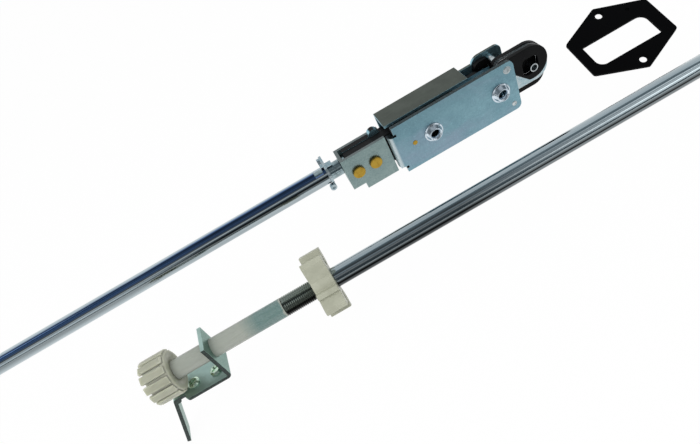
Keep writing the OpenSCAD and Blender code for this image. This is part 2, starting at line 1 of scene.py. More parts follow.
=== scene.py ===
import json
import math

import bmesh
import bpy
from mathutils import Matrix, Vector


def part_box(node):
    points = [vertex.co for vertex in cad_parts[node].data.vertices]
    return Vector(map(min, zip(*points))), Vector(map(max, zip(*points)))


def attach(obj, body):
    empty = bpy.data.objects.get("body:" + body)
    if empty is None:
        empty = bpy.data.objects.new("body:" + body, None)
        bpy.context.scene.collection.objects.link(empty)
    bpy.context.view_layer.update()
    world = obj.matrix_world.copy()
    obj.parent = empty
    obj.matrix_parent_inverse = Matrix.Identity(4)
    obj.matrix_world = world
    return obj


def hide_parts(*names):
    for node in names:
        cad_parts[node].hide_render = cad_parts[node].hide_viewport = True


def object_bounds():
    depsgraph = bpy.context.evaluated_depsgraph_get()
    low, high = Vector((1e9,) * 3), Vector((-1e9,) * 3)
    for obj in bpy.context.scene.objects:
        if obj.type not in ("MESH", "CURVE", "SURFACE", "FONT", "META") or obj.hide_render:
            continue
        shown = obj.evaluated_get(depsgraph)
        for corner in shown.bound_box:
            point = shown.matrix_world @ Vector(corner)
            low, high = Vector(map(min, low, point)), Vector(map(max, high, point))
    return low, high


bl_info = {
    "name": "Door header bolt",
    "version": (1, 0, 0),
    "blender": (4, 5, 0),
    "location": "3D View > Sidebar > Header bolt",
    "description": "Finishes, threads, knob, rivets and stage of a header bolt with its rods",
    "category": "Object",
}

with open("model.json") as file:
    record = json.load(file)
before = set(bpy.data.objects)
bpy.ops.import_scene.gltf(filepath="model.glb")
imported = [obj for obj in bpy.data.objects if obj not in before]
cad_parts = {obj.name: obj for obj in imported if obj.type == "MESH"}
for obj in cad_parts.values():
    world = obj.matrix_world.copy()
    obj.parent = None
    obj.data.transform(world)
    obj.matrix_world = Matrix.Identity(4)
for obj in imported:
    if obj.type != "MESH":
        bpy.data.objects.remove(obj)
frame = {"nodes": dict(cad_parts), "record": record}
cad_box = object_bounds()

MM = 0.001


def linear(red, green, blue):
    """A screen colour from 0 to 255 as the linear colour that nodes take."""

    def one(v):
        v /= 255
        return v / 12.92 if v <= 0.04045 else ((v + 0.055) / 1.055) ** 2.4

    return one(red), one(green), one(blue)


def frame_mount(name):
    """The record's mount of that name."""
    return next(mount for mount in frame["record"]["mounts"] if mount["name"] == name)


def middle(node):
    """The middle of a CAD node's box."""
    low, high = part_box(node)
    return (Vector(low) + Vector(high)) / 2


# Settings


def colour(name, description, red, green, blue):
    return bpy.props.FloatVectorProperty(
        name=name, description=description, default=linear(red, green, blue),
        min=0, max=1, size=3, subtype="COLOR",
    )


def length(name, description, millimetres):
    return bpy.props.FloatProperty(
        name=name, description=description, default=millimetres * MM,
        min=0, unit="LENGTH", precision=5,
    )


class FinishSettings(bpy.types.PropertyGroup):
    """The colours of the finishes."""

    zinc: colour("Zinc", "Plated sheet, main tone", 132, 169, 180)
    zinc_shade: colour("Zinc shade", "Plated sheet, mottled tone", 113, 149, 162)
    zinc_warm: colour("Zinc iridescence", "Faint violet tint in the plating", 146, 158, 178)
    # Sheared edges: darker as cut steel, and darker still with painted shade.
    zinc_edge: colour("Zinc edge", "Sheared edge of plated sheet", 50, 54, 53)
    # Painted highlight: the bright reflection round the plate's bend, painted as this colour.
    zinc_bend_highlight: colour("Zinc bend", "Stretched plating round the plate's bend", 192, 206, 210)
    # Painted shade: the channel's faces that look up are painted darker.
    shaded_zinc_top: colour("Dark zinc", "The channel's faces that look up", 89, 95, 88)
    grey_zinc: colour("Grey zinc", "The yoke's plating, main tone", 145, 164, 162)
    grey_zinc_shade: colour("Grey zinc shade", "The yoke's plating, mottled", 121, 142, 142)
    # The yoke's sheared edges: darker as cut steel, with painted shade.
    grey_zinc_edge: colour("Grey zinc edge", "The yoke's sheared edges", 112, 120, 120)
    green_zinc: colour("Green zinc", "The bracket's plating, main tone", 126, 158, 148)
    green_zinc_shade: colour("Green zinc shade", "The bracket's plating, mottled", 102, 134, 124)
    # Painted light: the bracket's faces that look up are painted lighter.
    green_zinc_lit_top: colour("Green zinc top", "The bracket's faces that look up", 180, 206, 198)
    bright: colour("Bright steel", "Pins, clip, lower stud, bolt core", 196, 204, 206)
    stud: colour("Stud", "The upper rod's stud", 158, 176, 180)
    chrome: colour("Bosses", "Polished bosses", 214, 227, 237)
    screw: colour("Screws", "The bracket's screws, with a green tint", 216, 240, 218)
    tube: colour("Tube", "Bright plated rod tube", 196, 209, 214)
    tube_blue: colour("Blue passivate", "Blue band along the upper tube", 60, 104, 164)
    black: colour("Black steel", "Painted bolt plies, fork and strike", 6, 6, 7)
    black_worn: colour("Worn black", "Rubbed places of the paint", 27, 28, 29)
    brass: colour("Brass", "Rivets and guide pin", 176, 145, 60)
    brass_shade: colour("Brass shade", "Tarnish on the brass", 140, 104, 34)
    nylon: colour("Nylon", "Guide and knob", 178, 180, 162)
    nylon_shade: colour("Nylon shade", "Thicker places of the nylon", 168, 170, 152)
    sleeve: colour("Sleeve", "Milky adjuster sleeve", 161, 166, 157)
    sleeve_tint: colour("Sleeve over stud", "Sleeve where the stud shows through", 106, 132, 129)
    # On the drive bar this black is painted shade on the faces that look up.
    plastic: colour("Black plastic", "Shoe, block and the drive bar's top", 26, 27, 28)


class SizeSettings(bpy.types.PropertyGroup):
    """The sizes of the modelled details."""

    edge: length("Edge radius", "Rounding of sheet metal edges", 0.28)
    soft_edge: length("Moulded edge radius", "Rounding of plastic edges", 0.35)
    tube_d: length("Tube diameter", "Outer diameter of the rod tube", 12.7)
    tube_wall: length("Tube wall", "Wall thickness of the rod tube", 1.25)
    thread_pitch: length("Thread pitch", "Pitch of the thread rolled on the tube", 1.27)
    thread_depth: length("Thread depth", "Depth of the thread rolled on the tube", 0.42)
    stud_pitch: length("Stud pitch", "Pitch of the stud's thread inside the sleeve", 1.5875)
    knob_d: length("Knob diameter", "Diameter over the knob's teeth", 29.2)
    knob_root: length("Knob root", "Diameter between the knob's teeth", 26.8)
    knob_length: length("Knob length", "Length of the knob", 17.3)
    tooth_width: length("Tooth width", "Width of one knob tooth", 4.9)
    hub_recess: length("Hub recess", "How far the hub's face lies behind the teeth", 2.0)
    rivet_d: length("Rivet head", "Diameter of a brass rivet's head", 8.7)
    rivet_proud: length("Rivet height", "Height of a brass rivet's head", 2.0)
    knob_teeth: bpy.props.IntProperty(
        name="Knob teeth", description="Number of teeth round the knob", default=13, min=3
    )


class StageSettings(bpy.types.PropertyGroup):
    """The camera, lamps and floor."""

    turn: bpy.props.FloatProperty(
        name="Turn", description="The camera's turn about the vertical",
        default=math.radians(0.675244256), subtype="ANGLE",
    )
    tilt: bpy.props.FloatProperty(
        name="Tilt", description="How far the camera looks down",
        default=math.radians(41.9535433), subtype="ANGLE",
    )
    roll: bpy.props.FloatProperty(
        name="Roll", description="The camera's roll", default=math.radians(30.5677302),
        subtype="ANGLE",
    )
    lens: bpy.props.FloatProperty(
        name="Lens", description="Focal length on a 36 mm sensor", default=28.8739,
        unit="CAMERA",
    )
    eye: bpy.props.FloatVectorProperty(
        name="Eye", description="Where the camera stands",
        default=(-0.0996984, -0.2871531, 0.2299639), size=3, subtype="TRANSLATION",
    )
    key: bpy.props.FloatProperty(
        name="Key lamp", description="Power of the key lamp", default=5.0, unit="POWER"
    )
    fill: bpy.props.FloatProperty(
        name="Fill lamp", description="Power of the fill lamp", default=1.6, unit="POWER"
    )
    ambient: bpy.props.FloatProperty(
        name="Ambient", description="Strength of the room's even light", default=0.62
    )
    floor: colour("Floor", "The floor's colour", 250, 250, 250)


def finishes():
    return bpy.context.scene.header_bolt_finishes


def sizes():
    return bpy.context.scene.header_bolt_sizes


def stage():
    return bpy.context.scene.header_bolt_stage


# Writing node trees


class Net:
    """Writes a node tree in few words."""

    def __init__(self, tree):
        self.tree = tree

    def node(self, kind, inputs=(), **settings):
        """A new node with its settings and its inputs, which are sockets or plain values."""
        made = self.tree.nodes.new(kind)
        for key, value in settings.items():
            setattr(made, key, value)
        for key, value in dict(inputs).items():
            if isinstance(value, bpy.types.NodeSocket):
                self.tree.links.new(value, made.inputs[key])
            else:
                made.inputs[key].default_value = value
        return made

    def math(self, operation, a, b=0.0):
        return self.node("ShaderNodeMath", {0: a, 1: b}, operation=operation).outputs[0]

    def add(self, a, b):
        return self.math("ADD", a, b)

    def multiply(self, a, b):
        return self.math("MULTIPLY", a, b)

    def mix(self, factor, a, b, blend="MIX"):
        """Mixes two colours, each a socket or a plain tone."""
        a, b = (v if isinstance(v, bpy.types.NodeSocket) else (*v, 1) for v in (a, b))
        return self.node("ShaderNodeMix", {0: factor, 6: a, 7: b}, data_type="RGBA",
                         blend_type=blend).outputs[2]

    def steps(self, value, stops):
        """A colour ramp through (degrees, tone) over a full turn, from -180 to 180."""
        ramp = self.node("ShaderNodeValToRGB", {0: value})
        marks = ramp.color_ramp.elements
        while len(marks) > 1:
            marks.remove(marks[0])
        for i, (degrees, tone) in enumerate(stops):
            spot = (degrees + 180) / 360
            mark = marks[0] if i == 0 else marks.new(spot)
            mark.position = spot
            mark.color = (*tone, 1)
        return ramp.outputs[0]

    def ramp(self, value, low, high, to_low=0.0, to_high=1.0):
        """The value's way from low to high as one from to_low to to_high."""
        return self.node(
            "ShaderNodeMapRange", {0: value, 1: low, 2: high, 3: to_low, 4: to_high}
        ).outputs[0]

    def stretch(self, place, scale):
        return self.node("ShaderNodeMapping", {"Vector": place, "Scale": scale}).outputs[0]

    def noise(self, place, scale, detail=3.0, rough=0.5, warp=0.0):
        return self.node(
            "ShaderNodeTexNoise",
            {"Vector": place, "Scale": scale, "Detail": detail, "Roughness": rough,
             "Distortion": warp},
        ).outputs["Fac"]

    def flakes(self, place, scale):
        cells = self.node("ShaderNodeTexVoronoi", {"Vector": place, "Scale": scale})
        return self.node("ShaderNodeSeparateColor", {0: cells.outputs["Color"]}).outputs[0]

    def split(self, vector):
        return self.node("ShaderNodeSeparateXYZ", {0: vector}).outputs

    def bump(self, height, strength, distance=0.0001):
        return self.node(
            "ShaderNodeBump", {"Height": height, "Strength": strength, "Distance": distance}
        ).outputs[0]


def times(tone, factor):
    """The tone made darker or brighter."""
    return tuple(min(1, part * factor) for part in tone)


def greys(stops):
    """Stops of one grey value each as the colour stops that a ramp takes."""
    return [(degrees, (value,) * 3) for degrees, value in stops]


def surface(name, metallic=0.0, ior=1.5):
    """A new material with its shader's constants set, its net, its shader and its coordinates."""
    material = bpy.data.materials.new(name)
    material.use_nodes = True
    net = Net(material.node_tree)
    shader = material.node_tree.nodes["Principled BSDF"]
    shader.inputs["Metallic"].default_value = metallic
    shader.inputs["IOR"].default_value = ior
    return material, net, shader, net.node("ShaderNodeTexCoord").outputs


def connect(net, shader, colour_out, rough_out, normal_out):
    for key, out in (("Base Color", colour_out), ("Roughness", rough_out),
                     ("Normal", normal_out)):
        net.tree.links.new(out, shader.inputs[key])


# Finishes


def zinc_sheet(name, tone, shade, edge=None, along=(0, 1, 0), rough=(0.3, 0.44), grain=1.0,
               warm=None, top=None, bend=None):
    """Zinc plated sheet: cloudy passivate, small crystals, rolling streaks. The other tones are
    optional: edge is that of the sheared edges, which are the faces that look across the
    directions in along, darker as cut steel and with painted shade; warm is a faint tint in
    streaks; top is painted light and shade on the faces that look up; and bend is a painted
    highlight on the faces turned to the left. Corners get a painted highlight."""
    material, net, shader, coords = surface(name, metallic=0.92)
    place = coords["Object"]
    cloud = net.noise(place, 70 * grain, 4, 0.6, 0.4)
    mottle = net.noise(place, 520 * grain, 5, 0.65)
    flake = net.flakes(place, 1500 * grain)
    streak = net.noise(net.stretch(place, (40, 600, 600)), 1.0, 3, 0.6)
    tone_mix = net.add(net.multiply(cloud, 0.5), net.multiply(mottle, 0.5))
    colour_out = net.mix(net.ramp(tone_mix, 0.36, 0.64), tone, shade)
    if warm:
        tint = net.noise(net.stretch(place, (24, 90, 60)), 1.0, 3, 0.5, 0.6)
        colour_out = net.mix(net.ramp(tint, 0.46, 0.7, 0.0, 0.5), colour_out, warm)
    speck = net.ramp(net.multiply(flake, mottle), 0.38, 0.62, 0.0, 0.55)
    colour_out = net.mix(speck, colour_out, times(tone, 1.35))
    colour_out = net.mix(net.ramp(streak, 0.6, 0.72, 0.0, 0.35), colour_out, shade)
    if edge:
        parts = net.split(coords["Normal"])
        square = [net.math("POWER", net.math("ABSOLUTE", parts[i]), 2) for i in range(3)]
        shares = [net.multiply(square[i], along[i]) for i in range(3)]
        facing = net.add(shares[0], net.add(shares[1], shares[2]))
        tear = net.noise(net.stretch(place, (900, 900, 900)), 1.0, 4, 0.7)
        # Sheared edges: darker as cut steel, with painted shade.
        sheared_and_shaded = net.multiply(net.ramp(facing, 0.75, 0.35), net.ramp(tear, 0.2, 0.6, 0.7, 1.0))
        colour_out = net.mix(sheared_and_shaded, colour_out, edge)
        # Painted highlight: a bright line on the bevels between the faces and the edges.
        corner = net.multiply(net.ramp(facing, 0.34, 0.46), net.ramp(facing, 0.84, 0.72))
        colour_out = net.mix(corner, colour_out, times(tone, 1.9))
    # Painted light and shade: the faces that look up take the top tone, clouded at random.
    if top:
        upward = net.split(coords["Normal"])[2]
        painted_top_light = net.mix(net.ramp(cloud, 0.36, 0.62), top, times(top, 0.8))
        colour_out = net.mix(net.ramp(upward, 0.6, 0.8), colour_out, painted_top_light)
        # Painted highlight: a bright line on the bevels round the faces that look up.
        corner = net.multiply(net.ramp(upward, 0.4, 0.55), net.ramp(upward, 0.92, 0.8))
        colour_out = net.mix(corner, colour_out, times(tone, 1.5))
    # Painted highlight: the faces turned to the left take the bright bend tone.
    if bend:
        turned_left = net.multiply(net.split(coords["Normal"])[0], -1.0)
        colour_out = net.mix(net.ramp(turned_left, 0.2, 0.5), colour_out, bend)
    uneven = net.add(net.multiply(mottle, 0.6), net.multiply(streak, 0.4))
    rough_out = net.ramp(uneven, 0.35, 0.65, *rough)
    relief = net.add(net.multiply(flake, 0.4), mottle)
    connect(net, shader, colour_out, rough_out, net.bump(relief, 0.16, 0.00008))
    return material


def bright_steel(name, tone, rough=(0.16, 0.3), grain=1.0):
    """Turned or headed bright plated steel with fine turning lines and small dull places."""
    material, net, shader, coords = surface(name, metallic=1.0)
    place = coords["Object"]
    dull = net.noise(place, 380 * grain, 5, 0.6)
    lines = net.noise(net.stretch(place, (2600, 500, 500)), 1.0, 2, 0.5)
    colour_out = net.mix(net.ramp(dull, 0.42, 0.66), tone, times(tone, 0.62))
    rough_out = net.ramp(dull, 0.35, 0.7, *rough)
    connect(net, shader, colour_out, rough_out, net.bump(lines, 0.12, 0.00006))
    return material


def rod_tube(name, tone, centre, left, right, between, band=None, dull_to=None):
    """Bright plated welded tube: fine drawn lines and handling marks. Painted reflections go round
    it: greys in degrees from the top to the front that darken the plating in bands, from those
    of its left part to those of its right part between two places. Band is the blue passivate
    that lies along it, and up to dull_to it is oiled and duller, with painted shade underneath."""
    material, net, shader, coords = surface(name, metallic=1.0)
    place = coords["Object"]
    x, y, z = net.split(place)
    front, up = net.math("SUBTRACT", centre.y, y), net.math("SUBTRACT", z, centre.z)
    turn = net.math("DIVIDE", net.math("ARCTAN2", front, up), math.tau)
    round_place = net.node("ShaderNodeCombineXYZ", {0: x, 1: turn}).outputs[0]
    drawn = net.noise(net.stretch(round_place, (9, 150, 1)), 1.0, 4, 0.65)
    fine = net.noise(net.stretch(round_place, (30, 700, 1)), 1.0, 3, 0.6)
    mark = net.noise(place, 900, 3, 0.5)
    cloud = net.noise(net.stretch(round_place, (18, 5, 1)), 1.0, 4, 0.6)
    dark = times(tone, 0.66)
    colour_out = net.mix(net.ramp(drawn, 0.45, 0.75, 0.0, 0.7), tone, dark)
    colour_out = net.mix(net.ramp(cloud, 0.5, 0.75, 0.0, 0.35), colour_out,
                         (dark[0], dark[1] * 1.04, dark[2] * 1.1))
    if band:
        # In turns from the top: the band's two edges, then those of its strip behind the tube.
        shifted = net.add(turn, net.ramp(cloud, 0.3, 0.7, -0.006, 0.006))
        late = net.ramp(x, *between, 0.03, 0.0)
        rise = net.ramp(net.math("SUBTRACT", shifted, late), -0.03, 0.01)
        fall = net.ramp(shifted, 0.118, 0.132, 1.0, 0.0)
        begins = net.ramp(shifted, -0.47, -0.44)
        ends = net.ramp(shifted, -0.38, -0.36, 1.0, 0.0)
        behind = net.multiply(net.multiply(begins, ends), 0.7)
        blue = net.math("MAXIMUM", net.multiply(rise, fall), behind)
        blue = net.multiply(blue, net.ramp(drawn, 0.2, 0.6, 1.0, 0.8))
        colour_out = net.mix(blue, colour_out, band)
    wide = net.add(turn, net.ramp(cloud, 0.3, 0.7, -0.004, 0.004))
    spot = net.add(wide, 0.5)
    # Painted reflection: greys by the angle round the tube darken the plating in bands.
    shade = net.mix(net.ramp(x, *between), net.steps(spot, greys(left)),
                    net.steps(spot, greys(right)))
    colour_out = net.mix(1.0, colour_out, shade, "MULTIPLY")
    if dull_to:
        oiled = net.ramp(x, dull_to - MM, dull_to, 1.0, 0.0)
        colour_out = net.mix(oiled, colour_out, (0.5, 0.5, 0.42), "MULTIPLY")
        # Painted shade: the oiled thread's underside is darker still.
        thread_underside_shade = net.multiply(oiled, net.ramp(turn, 0.17, 0.21))
        colour_out = net.mix(thread_underside_shade, colour_out, (0.25, 0.25, 0.25), "MULTIPLY")
    uneven = net.add(net.multiply(fine, 0.7), net.multiply(mark, 0.3))
    rough_out = net.ramp(uneven, 0.35, 0.7, 0.07, 0.2)
    relief = net.add(net.multiply(fine, 0.6), net.multiply(drawn, 0.6))
    connect(net, shader, colour_out, rough_out, net.bump(relief, 0.07, 0.00008))
    return material


def black_paint(name, tone, worn, rough=(0.34, 0.5), grain=1.0, gloss=0.1):
    """Satin black, painted or moulded, with a fine orange peel and small rubbed places."""
    material, net, shader, coords = surface(name)
    shader.inputs["Specular IOR Level"].default_value = gloss
    place = coords["Object"]
    rub = net.noise(place, 300 * grain, 5, 0.7)
    cloud = net.noise(place, 60 * grain, 3, 0.5)
    peel = net.noise(place, 1900 * grain, 3, 0.5)
    colour_out = net.mix(net.ramp(rub, 0.6, 0.74, 0.0, 0.8), tone, worn)
    colour_out = net.mix(net.ramp(cloud, 0.4, 0.7, 0.0, 0.3), colour_out, worn)
    rough_out = net.ramp(rub, 0.3, 0.7, *rough)
    connect(net, shader, colour_out, rough_out, net.bump(peel, 0.2, 0.00008))
    return material


def brass_finish(name, tone, shade):
    """Turned brass with tarnish in patches and fine turning lines."""
    material, net, shader, coords = surface(name, metallic=1.0)
    place = coords["Object"]
    tarnish = net.noise(place, 260, 4, 0.55, 0.3)
    lines = net.noise(net.stretch(place, (900, 900, 2600)), 1.0, 3, 0.5)
    colour_out = net.mix(net.ramp(tarnish, 0.45, 0.75, 0.0, 0.6), tone, shade)
    rough_out = net.ramp(tarnish, 0.3, 0.7, 0.2, 0.32)
    connect(net, shader, colour_out, rough_out, net.bump(lines, 0.08, 0.00005))
    return material


def moulded_nylon(name, tone, shade, milk=1.0):
    """Natural nylon: milky, a little uneven, with the mould's fine texture. The light goes as
    far into it as milk tells."""
    material, net, shader, coords = surface(name, ior=1.53)
    shader.inputs["Subsurface Weight"].default_value = milk
    shader.inputs["Subsurface Radius"].default_value = (0.005, 0.005, 0.0046)
    shader.inputs["Subsurface Scale"].default_value = milk
    place = coords["Object"]
    cloud = net.noise(place, 90, 4, 0.55, 0.3)
    fleck = net.noise(place, 1100, 3, 0.6)
    peel = net.noise(place, 2300, 2, 0.5)
    flow = net.noise(net.stretch(place, (60, 300, 300)), 1.0, 3, 0.5)
    colour_out = net.mix(net.ramp(cloud, 0.38, 0.64), tone, shade)
    colour_out = net.mix(net.ramp(fleck, 0.64, 0.78, 0.0, 0.2), colour_out, shade)
    rough_out = net.ramp(flow, 0.3, 0.7, 0.34, 0.48)
    connect(net, shader, colour_out, rough_out, net.bump(net.add(peel, flow), 0.1, 0.00008))
    return material


def milky_sleeve(name, tone, tint, pitch, dark_to):
    """The translucent sleeve: the stud inside, with its thread of that pitch, shows as a cooler
    and darker stretch up to dark_to."""
    material, net, shader, coords = surface(name)
    shader.inputs["Subsurface Weight"].default_value = 0.3
    shader.inputs["Subsurface Radius"].default_value = (0.003, 0.003, 0.0025)
    shader.inputs["Subsurface Scale"].default_value = 0.3
    place = coords["Object"]
    x = net.split(place)[0]
    cloud = net.noise(net.stretch(place, (50, 260, 260)), 1.0, 4, 0.6)
    inside = net.add(x, net.ramp(cloud, 0.3, 0.7, -0.0008, 0.0008))
    start, fade, end = dark_to - 29 * MM, 11 * MM, dark_to - 0.6 * MM
    stud = net.multiply(net.ramp(inside, start, start + fade),
                        net.ramp(inside, end - MM, end, 1.0, 0.0))
    rings = net.math("SINE", net.multiply(x, math.tau / pitch))
    uneven = net.multiply(net.ramp(rings, -1.0, 1.0), net.ramp(cloud, 0.35, 0.65))
    stud = net.multiply(stud, net.ramp(uneven, 0.0, 1.0, 0.98, 0.84))
    pale = net.mix(net.ramp(cloud, 0.42, 0.66, 0.0, 0.4), tone, times(tone, 0.92))
    colour_out = net.mix(stud, pale, tint)
    rough_out = net.ramp(cloud, 0.3, 0.7, 0.22, 0.36)
    peel = net.noise(place, 1400, 2, 0.5)
    connect(net, shader, colour_out, rough_out, net.bump(peel, 0.12, 0.00008))
    return material


# Shared geometry trees


def group_tree(name, inputs):
    """A geometry tree with the named inputs, its net, its input sockets and their identifiers."""
    tree = bpy.data.node_groups.new(name, "GeometryNodeTree")
    kinds = {float: "NodeSocketFloat", int: "NodeSocketInt", "object": "NodeSocketObject",
             "material": "NodeSocketMaterial", "vector": "NodeSocketVector"}
    tree.interface.new_socket("Geometry", in_out="INPUT", socket_type="NodeSocketGeometry")
    ids = {}
    for key, kind in inputs.items():
        made = tree.interface.new_socket(key, in_out="INPUT", socket_type=kinds[kind])
        ids[key] = made.identifier
    tree.interface.new_socket("Geometry", in_out="OUTPUT", socket_type="NodeSocketGeometry")
    net = Net(tree)
    return tree, net, net.node("NodeGroupInput").outputs, ids


def end_tree(net, geometry, material):
    """Ends a tree in Realize Instances and Set Material."""
    real = net.node("GeometryNodeRealizeInstances", {0: geometry}).outputs[0]
    done = net.node("GeometryNodeSetMaterial", {"Geometry": real, "Material": material})
    net.node("NodeGroupOutput", {0: done.outputs[0]})


def rolled_thread_tree():
    """Cuts a helical thread into a turned mesh along X: the depth at a point follows from how
    far along and how far round it lies."""
    tree, net, given, ids = group_tree("rolled_thread", {
        "Pitch": float, "Depth": float, "Start": float, "End": float, "Run out": float,
        "Axis Y": float, "Axis Z": float, "Outer radius": float, "Material": "material"})
    place = net.node("GeometryNodeInputPosition").outputs[0]
    x, y, z = net.split(place)
    dy = net.math("SUBTRACT", y, given["Axis Y"])
    dz = net.math("SUBTRACT", z, given["Axis Z"])
    turn = net.math("DIVIDE", net.math("ARCTAN2", dy, dz), math.tau)
    phase = net.math("SUBTRACT", net.math("DIVIDE", x, given["Pitch"]), turn)
    wave = net.math("COSINE", net.multiply(phase, math.tau))
    groove = net.ramp(wave, -1.0, 1.0)
    in_run = net.ramp(x, given["Start"], net.add(given["Start"], given["Run out"]))
    full_end = net.math("SUBTRACT", given["End"], given["Run out"])
    out_run = net.ramp(x, full_end, given["End"], 1.0, 0.0)
    squared = net.add(net.multiply(dy, dy), net.multiply(dz, dz))
    radius = net.math("SQRT", squared)
    outside = net.math("GREATER_THAN", radius, net.multiply(given["Outer radius"], 0.97))
    cut = net.multiply(net.multiply(in_run, out_run), outside)
    depth = net.multiply(net.multiply(groove, given["Depth"]), cut)
    inward = net.math("DIVIDE", depth, net.multiply(radius, -1.0))
    offset = net.node("ShaderNodeCombineXYZ", {
        1: net.multiply(dy, inward), 2: net.multiply(dz, inward)}).outputs[0]
    moved = net.node("GeometryNodeSetPosition", {"Geometry": given["Geometry"], "Offset": offset})
    end_tree(net, moved.outputs[0], given["Material"])
    return tree, ids


def ring_of_teeth_tree():
    """Sets copies of one tooth round the X axis at even steps and keeps the hub with them."""
    tree, net, given, ids = group_tree("ring_of_teeth", {
        "Count": int, "Tooth": "object", "Centre": "vector", "Material": "material"})
    points = net.node("GeometryNodePoints", {"Count": given["Count"], "Position": given["Centre"]})
    tooth = net.node("GeometryNodeObjectInfo", {"Object": given["Tooth"]})
    step = net.math("DIVIDE", math.tau, given["Count"])
    angle = net.multiply(net.node("GeometryNodeInputIndex").outputs[0], step)
    turn = net.node("ShaderNodeCombineXYZ", {0: angle}).outputs[0]
    copies = net.node("GeometryNodeInstanceOnPoints", {
        "Points": points.outputs[0], "Instance": tooth.outputs["Geometry"], "Rotation": turn})
    both = net.node("GeometryNodeJoinGeometry")
    net.tree.links.new(given["Geometry"], both.inputs[0])
    net.tree.links.new(copies.outputs[0], both.inputs[0])
    end_tree(net, both.outputs[0], given["Material"])
    return tree, ids


def fasteners_tree():
    """Sets one copy of a fastener on each vertex of a mesh."""
    tree, net, given, ids = group_tree("fasteners", {
        "Fastener": "object", "Material": "material"})
    master = net.node("GeometryNodeObjectInfo", {"Object": given["Fastener"]})
    points = net.node("GeometryNodeMeshToPoints", {"Mesh": given["Geometry"]})
    copies = net.node("GeometryNodeInstanceOnPoints", {
        "Points": points.outputs[0], "Instance": master.outputs["Geometry"]})
    end_tree(net, copies.outputs[0], given["Material"])
    return tree, ids


def round_shading_tree():
    """Shades a mesh smooth across shallow edges and sharp across steep ones."""
    tree, net, given, ids = group_tree("round_shading", {"Steepest": float})
    smooth = net.node("GeometryNodeSetShadeSmooth", {"Geometry": given["Geometry"]}, domain="FACE")
    angle = net.node("GeometryNodeInputMeshEdgeAngle").outputs[0]
    steep = net.node("FunctionNodeCompare", {0: angle, 1: given["Steepest"]},
                     operation="GREATER_THAN").outputs[0]
    sharp = net.node("GeometryNodeSetShadeSmooth", {
        "Geometry": smooth.outputs[0], "Selection": steep, "Shade Smooth": False}, domain="EDGE")
    net.node("NodeGroupOutput", {0: sharp.outputs[0]})
    return tree, ids


def run_tree(obj, made_tree, values):
    """Gives obj the tree's result as its plain mesh, and takes the modifier off again."""
    tree, ids = made_tree
    modifier = obj.modifiers.new(tree.name, "NODES")
    modifier.node_group = tree
    for key, value in values.items():
        modifier[ids[key]] = value
    graph = bpy.context.evaluated_depsgraph_get()
    mesh = bpy.data.meshes.new_from_object(obj.evaluated_get(graph), depsgraph=graph)
    obj.modifiers.clear()
    obj.data = mesh
    mesh.name = obj.name


# Mesh helpers


def mesh_object(name, bm):
    """A new object in the scene from a bmesh."""
    mesh = bpy.data.meshes.new(name)
    bm.to_mesh(mesh)
    bm.free()
    obj = bpy.data.objects.new(name, mesh)
    bpy.context.scene.collection.objects.link(obj)
    return obj


def turned(name, profile, sides, centre, axis="X", solid=False):
    """A closed turned mesh. The profile of (along, radius) in millimetres, along the axis from
    centre in the frame, is a loop, or for a solid piece a line with a flat face at each end."""
    bm = bmesh.new()
    rings = []
    for along, radius in profile:
        ring = []
        for i in range(sides):
            a = i * math.tau / sides
            c, s = radius * math.cos(a), radius * math.sin(a)
            p = Vector((along, c, s)) if axis == "X" else Vector((c, along, s))
            ring.append(bm.verts.new(centre + p * MM))
        rings.append(ring)
    for a, b in zip(rings, rings[1:] if solid else rings[1:] + rings[:1]):
        for i in range(sides):
            j = (i + 1) % sides
            bm.faces.new((a[i], a[j], b[j], b[i]))
    if solid:
        for ring in (rings[0], rings[-1]):
            bm.faces.new(ring)
    bmesh.ops.recalc_face_normals(bm, faces=bm.faces)
    for face in bm.faces:
        face.smooth = True
    return mesh_object(name, bm)


def arc(x, r, radius, start, end, steps=5):
    """Points of a rounding of the given radius about (x, r), from start to end degrees."""
    return [
        (x + radius * math.cos(math.radians(start + (end - start) * i / steps)),
         r + radius * math.sin(math.radians(start + (end - start) * i / steps)))
        for i in range(steps + 1)
    ]


def soft_edges(obj, width):
    """Rounds an object's steep edges with live modifiers and shades it smooth between them."""
    join = obj.modifiers.new("weld", "WELD")
    join.merge_threshold = 2e-6
    flat = obj.modifiers.new("flat_faces", "DECIMATE")
    flat.decimate_type = "DISSOLVE"
    flat.angle_limit = math.radians(0.5)
    bevel = obj.modifiers.new("edges", "BEVEL")
    bevel.limit_method = "ANGLE"
    bevel.angle_limit = math.radians(32)
    bevel.width = width
    bevel.segments = 2
    bevel.use_clamp_overlap = True
    tree, ids = shading_tree()
    shade = obj.modifiers.new("shading", "NODES")
    shade.node_group = tree
    shade[ids["Steepest"]] = math.radians(48)
    even = obj.modifiers.new("even_normals", "WEIGHTED_NORMAL")
    even.keep_sharp = True


def shading_tree():
    """The shared shading tree, made once."""
    if "round_shading" in bpy.data.node_groups:
        tree = bpy.data.node_groups["round_shading"]
        return tree, {
            i.name: i.identifier for i in tree.interface.items_tree if i.in_out == "INPUT"
        }
    return round_shading_tree()


def finish_nodes(material, width, names):
    """Gives CAD nodes their material and rounded edges."""
    for name in names:
        obj = frame["nodes"][name]
        obj.data.materials.clear()
        obj.data.materials.append(material)
        if width:
            soft_edges(obj, width)


def new_piece(obj, material, body, slot, *nodes):
    """Finishes a new piece: its material, the body that it rides on and the nodes that it stands
    for.
    The record's slot for its finish, slot, is not used."""
    obj.data.materials.clear()
    obj.data.materials.append(material)
    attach(obj, body)
    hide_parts(*nodes)


# Operators


class PieceOperator(bpy.types.Operator):
    """Makes one group of pieces."""

    bl_options = {"REGISTER", "UNDO"}

    def execute(self, context):
        self.make(finishes(), sizes())
        return {"FINISHED"}


